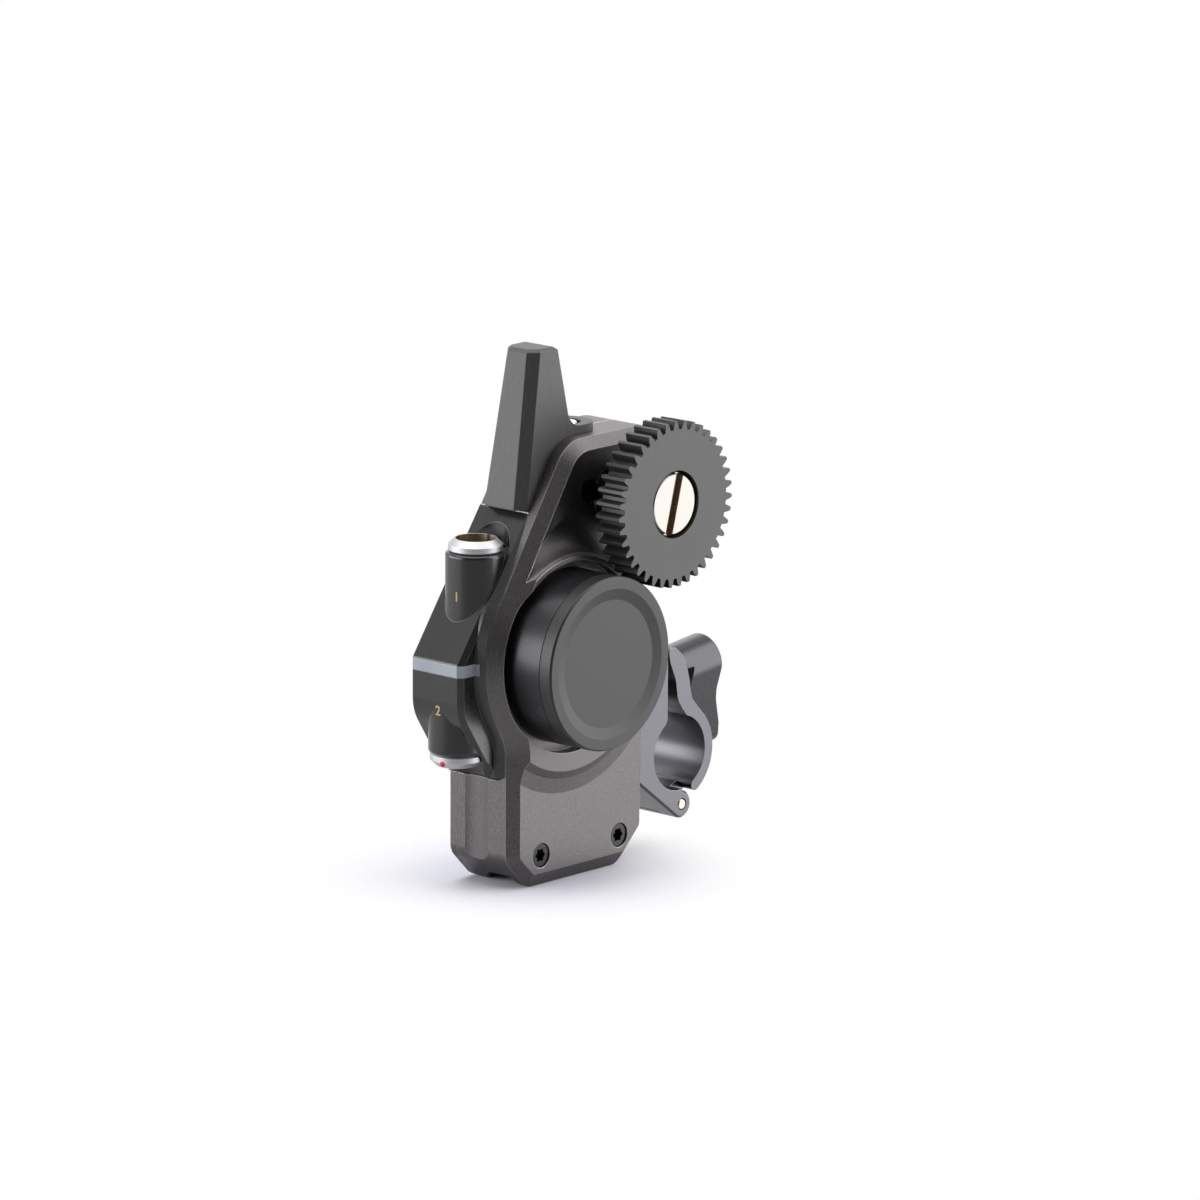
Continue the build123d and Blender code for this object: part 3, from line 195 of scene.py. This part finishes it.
def makeFloor():
    # a disc of rings round its middle: point = middle + ring radius times (cosine, sine)
    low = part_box("front_cover")[0].z
    middle = (*floor["middle"], low)
    r = floor["radius"] * np.arange(1, floor["rings"] + 1) / floor["rings"]
    k = np.arange(floor["sides"])
    t = 2 * np.pi * k / floor["sides"]
    x = middle[0] + np.outer(r, np.cos(t)).ravel()
    y = middle[1] + np.outer(r, np.sin(t)).ravel()
    points = np.vstack([[middle], np.column_stack([x, y, np.full(len(x), low)])])
    inner = np.column_stack([np.zeros_like(k), 1 + k, 1 + (k + 1) % floor["sides"]])
    outer = 1 + gridFaces(floor["rings"], floor["sides"])
    mesh = bpy.data.meshes.new("floor")
    mesh.from_pydata(points.tolist(), [], inner.tolist() + outer.tolist())
    disc = bpy.data.objects.new("floor", mesh)
    bpy.context.scene.collection.objects.link(disc)

    # matt studio paper: no shine, with a soft grey shadow, and clear where it has faded
    material, tree, shader = newMaterial("matteStudioPaper", Roughness=0.95)
    shader.inputs["Base Color"].default_value = linear(floor["paper"])
    shader.inputs["Specular IOR Level"].default_value = 0.0
    place = addNode(tree, "ShaderNodeTexCoord").outputs["Object"]
    offset = addNode(tree, "ShaderNodeVectorMath", {"operation": "SUBTRACT", 1: middle},
                     {0: place})
    away = addNode(tree, "ShaderNodeVectorMath", {"operation": "LENGTH"}, {0: offset.outputs[0]})
    start, end = floor["fade"]
    fade = addNode(tree, "ShaderNodeMapRange",
                   {"interpolation_type": "SMOOTHSTEP", "From Min": start, "From Max": end},
                   {"Value": away.outputs["Value"]})
    clear = addNode(tree, "ShaderNodeBsdfTransparent")
    whole = addNode(tree, "ShaderNodeMixShader", {},
                    {0: fade.outputs[0], 1: shader.outputs[0], 2: clear.outputs[0]})
    tree.links.new(whole.outputs[0], tree.nodes["Material Output"].inputs["Surface"])
    disc.data.materials.append(material)


makeCamera()
makeLamps()
makeWorld()
makeFloor()
bpy.context.scene.view_settings.view_transform = "Standard"
print("studio ready")


noiseSpan = (0.3, 0.7)          # the values between which nearly all of a noise lies
edges = {
    "samples": 6,
    # below this cosine the painted edge highlight starts to show
    "start": 0.995,             # cosine to the rounded normal below which an edge starts to show
}
waves = {
    "step": 0.314,              # metres between two rings of a wave texture at scale 1
    "wander": 0.5,
}


def grain(tree, sizeMm, detail=2.0, stretch=(1, 1, 1)):
    # noise with blobs about sizeMm across: a noise texture's scale is one over that in metres
    point = addNode(tree, "ShaderNodeTexCoord").outputs["Object"]
    place = addNode(tree, "ShaderNodeMapping", {"Scale": stretch}, {"Vector": point})
    noise = addNode(tree, "ShaderNodeTexNoise", {"Scale": 1 / (sizeMm * mm), "Detail": detail},
                    {"Vector": place.outputs[0]})
    return noise.outputs["Fac"]


def rings(tree, centre, pitchMm, axis="Y"):
    # circles round an axis through centre, pitchMm apart
    shift, turn = {"Y": ((-centre[0] * mm, 0, -centre[1] * mm), (np.pi / 2, 0, 0)),
                   "Z": ((-centre[0] * mm, -centre[1] * mm, 0), (0, 0, 0))}[axis]
    point = addNode(tree, "ShaderNodeTexCoord").outputs["Object"]
    place = addNode(tree, "ShaderNodeVectorMath", {"operation": "ADD", 1: shift}, {0: point})
    turned = addNode(tree, "ShaderNodeMapping", {"Rotation": turn}, {"Vector": place.outputs[0]})
    wave = addNode(tree, "ShaderNodeTexWave",
                   {"wave_type": "RINGS", "rings_direction": "Z",
                    "Scale": waves["step"] / (pitchMm * mm), "Distortion": waves["wander"]},
                   {"Vector": turned.outputs[0]})
    return wave.outputs["Fac"]


def finish(tree, shader, colour, fine, rough, swing, bump, depthMm, normal):
    # joins the colour, the roughness and a fine relief to the shader
    low, high = noiseSpan
    varied = addNode(tree, "ShaderNodeMapRange",
                     {"From Min": low, "From Max": high,
                      "To Min": rough - swing, "To Max": rough + swing}, {"Value": fine})
    relief = addNode(tree, "ShaderNodeBump", {"Strength": bump, "Distance": depthMm * mm},
                     {"Height": fine, "Normal": normal})
    tree.links.new(colour, shader.inputs["Base Color"])
    tree.links.new(varied.outputs[0], shader.inputs["Roughness"])
    tree.links.new(relief.outputs[0], shader.inputs["Normal"])


def recolour(material, factor, code):
    # lays another colour over a material, as far as the factor says: sockets 6 and 7 of a mix
    # are its two colours, and output 2 is the mixed one
    tree = material.node_tree
    shader = tree.nodes["Principled BSDF"]
    plain = shader.inputs["Base Color"].links[0].from_socket
    mix = addNode(tree, "ShaderNodeMix", {"data_type": "RGBA", 7: code},
                  {"Factor": factor, 6: plain})
    tree.links.new(mix.outputs[2], shader.inputs["Base Color"])


def paintEdgeHighlight(material, rounded, full, code):
    # paints a highlight on edges in its own colour, by how far the rounded normal leaves the
    # face's own
    tree = material.node_tree
    flat = addNode(tree, "ShaderNodeNewGeometry").outputs["Normal"]
    match = addNode(tree, "ShaderNodeVectorMath", {"operation": "DOT_PRODUCT"},
                    {0: flat, 1: rounded})
    edgeHighlightMask = addNode(tree, "ShaderNodeMapRange", {"From Min": edges["start"], "From Max": full},
                     {"Value": match.outputs["Value"]})
    recolour(material, edgeHighlightMask.outputs[0], code)


# the last key: the cosine to the rounded normal at which the painted edge highlight is at full
# colour
blastedSkin = {"dents": (0.36, 0.66), "swing": 0.05, "depth": 0.012, "edgeHighlightFull": 0.93}


def blasted(name, dark, pale, metallic, rough, sizeMm=0.2, bump=0.35, edge=0.12, edgeHighlightColour=None):
    # bead-blasted and anodised: tiny dents that sparkle a little, satin, with rounded edges
    material, tree, shader = newMaterial(name, Metallic=metallic)
    fine = grain(tree, sizeMm)
    rounded = addNode(tree, "ShaderNodeBevel",
                      {"samples": edges["samples"], "Radius": edge * mm}).outputs[0]
    colour = addNode(tree, "ShaderNodeValToRGB",
                     {"stops": zip(blastedSkin["dents"], (dark, pale))}, {"Fac": fine})
    finish(tree, shader, colour.outputs["Color"], fine, rough, blastedSkin["swing"], bump,
           blastedSkin["depth"], rounded)
    # a painted highlight on the edges, in the given colour
    if edgeHighlightColour:
        paintEdgeHighlight(material, rounded, blastedSkin["edgeHighlightFull"], edgeHighlightColour)
    return material


mouldedSkin = {
    "ior": 1.49, "cloudMm": 7.0, "cloudDetail": 1.0, "grainDetail": 3.0,
    # the last key below: the cosine to the rounded normal at which the painted edge highlight is
    # at full colour
    "swing": 0.04, "depth": 0.01, "edgeHighlightFull": 0.90,
}


def moulded(name, dark, pale, rough, sizeMm=0.25, bump=0.2, edge=0.2, edgeHighlightColour=None):
    # injection moulded: even colour with a faint cloudiness, a fine spark-eroded skin
    material, tree, shader = newMaterial(name, IOR=mouldedSkin["ior"])
    fine = grain(tree, sizeMm, mouldedSkin["grainDetail"])
    clouds = grain(tree, mouldedSkin["cloudMm"], mouldedSkin["cloudDetail"])
    rounded = addNode(tree, "ShaderNodeBevel",
                      {"samples": edges["samples"], "Radius": edge * mm}).outputs[0]
    colour = addNode(tree, "ShaderNodeValToRGB",
                     {"stops": zip(noiseSpan, (dark, pale))}, {"Fac": clouds})
    finish(tree, shader, colour.outputs["Color"], fine, rough, mouldedSkin["swing"], bump,
           mouldedSkin["depth"], rounded)
    # a painted highlight on the edges, in the given colour
    if edgeHighlightColour:
        paintEdgeHighlight(material, rounded, mouldedSkin["edgeHighlightFull"], edgeHighlightColour)
    return material


turnedSkin = {"grooves": (0.1, 0.9), "swing": 0.03, "bump": 0.12, "depth": 0.006, "edge": 0.1}


def turnedMetal(name, dark, pale, rough, pitchMm, centre, axis="Y"):
    # lathe turned: fine rings round its axis, at the tool's feed, coarser where it wouldn't show
    material, tree, shader = newMaterial(name, Metallic=1.0)
    fine = rings(tree, centre, pitchMm, axis)
    rounded = addNode(tree, "ShaderNodeBevel",
                      {"samples": edges["samples"], "Radius": turnedSkin["edge"] * mm}).outputs[0]
    colour = addNode(tree, "ShaderNodeValToRGB",
                     {"stops": zip(turnedSkin["grooves"], (dark, pale))}, {"Fac": fine})
    finish(tree, shader, colour.outputs["Color"], fine, rough, turnedSkin["swing"],
           turnedSkin["bump"], turnedSkin["depth"], rounded)
    return material


# axes in millimetres: X and Z of what turns about Y, X and Y of what stands upright
gearCentre = (-16.2, 54.25)
motorCentre = (-34.67, 25.78)
hingeCentre = (0.83, -10.57)
upperPort = (-49.95, 0.9)
lowerPort = (-54.98, 0.9)
buttonCentre = (-25.6, 0.4)

cutterArcs = {"pitch": 1.6, "depth": 0.02, "bump": 0.05}        # millimetres, but for the bump


def coverMetal():
    # the housing's bead-blasted anodised aluminium: warm satin grey with a painted highlight on
    # its edges, and the faint arcs that the cutter left round the motor
    material = blasted("bodyAluminium", "#4c494a", "#625f60", 0.95, 0.45, edge=0.2,
                       edgeHighlightColour="#a39fa0")
    tree = material.node_tree
    arcs = rings(tree, motorCentre, cutterArcs["pitch"])
    relief = tree.nodes["Principled BSDF"].inputs["Normal"].links[0].from_node
    rounded = relief.inputs["Normal"].links[0].from_socket
    faint = addNode(tree, "ShaderNodeBump",
                    {"Strength": cutterArcs["bump"], "Distance": cutterArcs["depth"] * mm},
                    {"Height": arcs, "Normal": rounded})
    tree.links.new(faint.outputs[0], relief.inputs["Normal"])
    return material


mast = {
    "dark": "#282728", "pale": "#343334", "ior": 1.54, "rough": 0.54, "swing": 0.05,
    "lineMm": 0.35, "lineStretch": (1, 1, 0.02), "lines": (0.35, 0.75),
    "grainMm": 0.22, "bump": 0.05, "depth": 0.01, "edgeMm": 0.25,
}


def mastPolymer():
    # moulded radio-clear plastic, brushed lengthways on the mould: dull, with fine upright lines
    material, tree, shader = newMaterial("mastPolymer", IOR=mast["ior"])
    lines = grain(tree, mast["lineMm"], stretch=mast["lineStretch"])
    fine = grain(tree, mast["grainMm"])
    rounded = addNode(tree, "ShaderNodeBevel",
                      {"samples": edges["samples"], "Radius": mast["edgeMm"] * mm}).outputs[0]
    colour = addNode(tree, "ShaderNodeValToRGB",
                     {"stops": zip(mast["lines"], (mast["dark"], mast["pale"]))}, {"Fac": lines})
    finish(tree, shader, colour.outputs["Color"], fine, mast["rough"], mast["swing"],
           mast["bump"], mast["depth"], rounded)
    return material


# the slot's colour: the screw's brown, painted pale as painted light on a floor that lies in the
# slot's shade
slotTintAndPaintedLight = {"colour": "#a08c78", "start": 0.15, "full": 0.45}  # millimetres below the head's face


def slottedNickel():
    # nickel-plated screw head, bright and mirror-like, with a brown slot painted pale as painted
    # light
    # against its shade: the colour changes below the face
    material = turnedMetal("slottedNickel", "#7b7874", "#898682", 0.26, 0.14, gearCentre)
    tree = material.node_tree
    point = addNode(tree, "ShaderNodeTexCoord").outputs["Object"]
    depth = addNode(tree, "ShaderNodeSeparateXYZ", {}, {0: point}).outputs["Y"]
    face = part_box("gear_screw")[0].y
    sunk = addNode(tree, "ShaderNodeMapRange",
                   {"From Min": face + slotTintAndPaintedLight["start"] * mm,
                    "From Max": face + slotTintAndPaintedLight["full"] * mm}, {"Value": depth})
    recolour(material, sunk.outputs[0], slotTintAndPaintedLight["colour"])
    return material


ringBore = {"colour": "#a08f7c", "start": 4.05, "full": 3.95}   # millimetres from the port's axis


def socketRing(name, centre):
    # satin nickel ring outside, brassy bore inside: the colour changes at the bore's radius
    material = turnedMetal(name, "#a9a9ac", "#b8b8ba", 0.5, 0.12, centre, axis="Z")
    tree = material.node_tree
    point = addNode(tree, "ShaderNodeTexCoord").outputs["Object"]
    place = addNode(tree, "ShaderNodeVectorMath",
                    {"operation": "MULTIPLY_ADD", 1: (1, 1, 0),
                     2: (-centre[0] * mm, -centre[1] * mm, 0)}, {0: point})
    radius = addNode(tree, "ShaderNodeVectorMath", {"operation": "LENGTH"}, {0: place.outputs[0]})
    inside = addNode(tree, "ShaderNodeMapRange",
                     {"From Min": ringBore["start"] * mm, "From Max": ringBore["full"] * mm},
                     {"Value": radius.outputs["Value"]})
    recolour(material, inside.outputs[0], ringBore["colour"])
    return material


finishes = {
    "bodyAluminium": coverMetal(),
    # blasted and dyed nearly black: matt, with a painted highlight line on the rim's edges
    "capAluminium": blasted("capAluminium", "#252424", "#2d2b2c", 0.35, 0.46, sizeMm=0.22,
                            edgeHighlightColour="#4b4845"),
    # the same dye on a smooth tube, which takes one long soft streak
    "canAluminium": blasted("canAluminium", "#252528", "#2d2d30", 0.6, 0.32, bump=0.1),
    # cool grey anodised bar, smooth enough for clear soft reflections, with a painted highlight on
    # its edges
    "clampAluminium": blasted("clampAluminium", "#4c4c50", "#555559", 0.95, 0.34, bump=0.15,
                              edgeHighlightColour="#8b8b90"),
    "knobAluminium": blasted("knobAluminium", "#3e3e41", "#454548", 0.9, 0.3, bump=0.1, edge=0.3),
    # moulded acetal: even dark grey and dull
    "gearPolymer": moulded("gearPolymer", "#242223", "#282627", 0.46, edge=0.08),
    # black plastic from a polished mould: glossy, with a painted highlight on its edges
    "blockPolymer": moulded("blockPolymer", "#1a1b1d", "#1d1e20", 0.24, sizeMm=0.3, bump=0.015,
                            edge=0.15, edgeHighlightColour="#6c6d70"),
    "mastPolymer": mastPolymer(),
    # frosted acrylic, unlit: milky grey
    "frostedGuide": moulded("frostedGuide", "#8f949e", "#9ba0aa", 0.4, edge=0.15),
    # blackened steel: dark, with small sharp glints
    "screwSteel": blasted("screwSteel", "#121214", "#1a1a1c", 0.6, 0.3, bump=0.08),
    "slottedNickel": slottedNickel(),
    "upperRingNickel": socketRing("upperRingNickel", upperPort),
    "lowerRingNickel": socketRing("lowerRingNickel", lowerPort),
    # turned and ground steel: bright, warm on the pin and cool on the works
    "pinSteel": turnedMetal("pinSteel", "#8d8580", "#a59c95", 0.35, 0.15, hingeCentre),
    "groundSteel": turnedMetal("groundSteel", "#8d8d90", "#b4b4b6", 0.3, 0.15, motorCentre),
    # bearing bronze: brownish yellow
    "bearingBronze": turnedMetal("bearingBronze", "#94703f", "#b48a52", 0.35, 0.15, motorCentre),
    # gold plate over turned brass: yellow and bright
    "goldContact": turnedMetal("goldContact", "#a98245", "#d3ad6c", 0.25, 0.2, upperPort,
                               axis="Z"),
    # brownish black insulating plastic, dull
    "blackInsulator": moulded("blackInsulator", "#2b2620", "#3a342c", 0.5),
    # epoxy glass board under green lacquer
    "boardLaminate": moulded("boardLaminate", "#1d3a28", "#2a4c36", 0.45),
    # clear-anodised turned aluminium: bright satin
    "silverButton": turnedMetal("silverButton", "#bdbdbf", "#d2d2d3", 0.32, 0.1, buttonCentre,
                                axis="Z"),
}
wears = {
    "bodyAluminium": ["front_cover", "rear_cover"],
    "capAluminium": ["motor_cap"],
    "canAluminium": ["motor_can"],
    "clampAluminium": ["clamp_body", "clamp_jaw"],
    "knobAluminium": ["clamp_knob"],
    "gearPolymer": ["drive_gear"],
    "blockPolymer": ["port_block"],
    "mastPolymer": ["antenna_fin"],
    "frostedGuide": ["light_strip", "light_emitters"],
    "screwSteel": ["cover_screws", "recess_screw", "rear_screws", "clamp_mount_screws"],
    "slottedNickel": ["gear_screw"],
    "upperRingNickel": ["upper_socket_shell"],
    "lowerRingNickel": ["lower_socket_shell"],
    "pinSteel": ["hinge_pin"],
    "groundSteel": ["clamp_screw", "output_shaft", "output_wheel", "motor_shaft", "motor_stator",
                    "motor_magnet", "encoder_magnet", "motor_pinion", "first_idler",
                    "second_idler", "first_idler_pin", "second_idler_pin",
                    "output_front_bearing", "output_rear_bearing", "board_screws"],
    "bearingBronze": ["motor_front_bush", "motor_rear_bush"],
    "goldContact": ["upper_socket_pins", "lower_socket_pins"],
    "blackInsulator": ["upper_socket_insert", "lower_socket_insert", "button_switch",
                       "board_chips"],
    "boardLaminate": ["circuit_board", "antenna_strip"],
    "silverButton": ["button"],
}
for name, names in wears.items():
    for node in names:
        nodes[node].data.materials.clear()
        nodes[node].data.materials.append(finishes[name])
print("finishes given to", sum(len(names) for names in wears.values()), "nodes")


# the plain numbers printed on the tubes of the two sockets: millimetres, and degrees round a tube
numbers = {
    "upperNumber": {"text": "1", "centre": upperPort, "radius": 5.88, "turn": -175.1,
                    "height": 39.2},
    "lowerNumber": {"text": "2", "centre": lowerPort, "radius": 5.69, "turn": -178.0,
                    "height": 17.6},
}
digit = {
    "height": 1.9,              # millimetres
    "sizeOverHeight": 1.4,      # of the font
    "weight": 0.05,             # millimetres by which its outline is grown
}
ink = {
    "dark": "#a1845f", "pale": "#bfa37d", "wornMm": 0.3, "worn": (0.3, 0.6),
    "grainMm": 0.2, "rough": 0.55, "swing": 0.05, "bump": 0.1, "depth": 0.005,
}


def makeNumbers():
    # pad-printed ink: flat tan, a little worn
    material, tree, shader = newMaterial("tanInk")
    colour = addNode(tree, "ShaderNodeValToRGB",
                     {"stops": zip(ink["worn"], (ink["dark"], ink["pale"]))},
                     {"Fac": grain(tree, ink["wornMm"])})
    finish(tree, shader, colour.outputs["Color"], grain(tree, ink["grainMm"]), ink["rough"],
           ink["swing"], ink["bump"], ink["depth"],
           addNode(tree, "ShaderNodeNewGeometry").outputs["Normal"])

    # a flat letter wrapped round a tube: x becomes an angle of x over the radius, y the height
    for name, number in numbers.items():
        curve = bpy.data.curves.new(name + "Curve", "FONT")
        curve.body = number["text"]
        curve.align_x, curve.align_y = "CENTER", "CENTER"
        curve.size = digit["height"] * digit["sizeOverHeight"] * mm
        curve.offset = digit["weight"] * mm
        text = bpy.data.objects.new(name + "Text", curve)
        bpy.context.scene.collection.objects.link(text)
        mesh = bpy.data.meshes.new_from_object(text)
        bpy.data.objects.remove(text)
        points = np.zeros(len(mesh.vertices) * 3)
        mesh.vertices.foreach_get("co", points)
        x, y, _ = points.reshape(-1, 3).T
        r = number["radius"] * mm
        a = np.radians(number["turn"]) + x / r
        placed = np.column_stack([number["centre"][0] * mm + r * np.cos(a),
                                  number["centre"][1] * mm + r * np.sin(a),
                                  number["height"] * mm + y])
        mesh.vertices.foreach_set("co", placed.ravel())
        piece = bpy.data.objects.new(name, mesh)
        piece.data.materials.clear()
        piece.data.materials.append(material)
        bpy.context.scene.collection.objects.link(piece)
        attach(piece, "housing")


# the enamel dot on the lower socket's ring: millimetres, and degrees round the ring
redDot = {
    "centre": lowerPort, "radius": 5.3, "turn": -169.9, "height": 7.25,
    "size": 0.65, "rise": 0.12, "sunk": 0.05, "rings": 5, "sides": 24,
}
enamel = {
    "dark": "#b3122a", "pale": "#c81c34", "ior": 1.52, "cloudMm": 0.4,
    "grainMm": 0.3, "rough": 0.25, "swing": 0.03, "bump": 0.05, "depth": 0.005,
}
mergeWithin = 1e-7              # metres


def makeRedDot():
    # a low dome: height falls with the square of the distance from its middle
    r, t = np.meshgrid(np.linspace(0, 1, redDot["rings"]),
                       2 * np.pi * np.arange(redDot["sides"]) / redDot["sides"], indexing="ij")
    across = redDot["size"] * r * np.cos(t)
    up = redDot["size"] * r * np.sin(t)
    out = redDot["radius"] - redDot["sunk"] + redDot["rise"] * (1 - r * r)
    a = np.radians(redDot["turn"]) + across / redDot["radius"]
    points = np.stack([redDot["centre"][0] + out * np.cos(a),
                       redDot["centre"][1] + out * np.sin(a),
                       redDot["height"] + up], axis=-1).reshape(-1, 3) * mm
    mesh = bpy.data.meshes.new("redDot")
    mesh.from_pydata(points.tolist(), [], gridFaces(redDot["rings"], redDot["sides"]).tolist())
    dome = bmesh.new()
    dome.from_mesh(mesh)
    bmesh.ops.remove_doubles(dome, verts=dome.verts, dist=mergeWithin)
    dome.to_mesh(mesh)
    dome.free()
    piece = bpy.data.objects.new("redDot", mesh)

    # glossy red enamel, poured into a dimple: bright and wet-looking
    material, tree, shader = newMaterial("redEnamel", IOR=enamel["ior"])
    colour = addNode(tree, "ShaderNodeValToRGB",
                     {"stops": zip(noiseSpan, (enamel["dark"], enamel["pale"]))},
                     {"Fac": grain(tree, enamel["cloudMm"])})
    finish(tree, shader, colour.outputs["Color"], grain(tree, enamel["grainMm"]),
           enamel["rough"], enamel["swing"], enamel["bump"], enamel["depth"],
           addNode(tree, "ShaderNodeNewGeometry").outputs["Normal"])
    piece.data.materials.append(material)
    bpy.context.scene.collection.objects.link(piece)
    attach(piece, "housing")


makeNumbers()
makeRedDot()
print("numbers and dot placed")
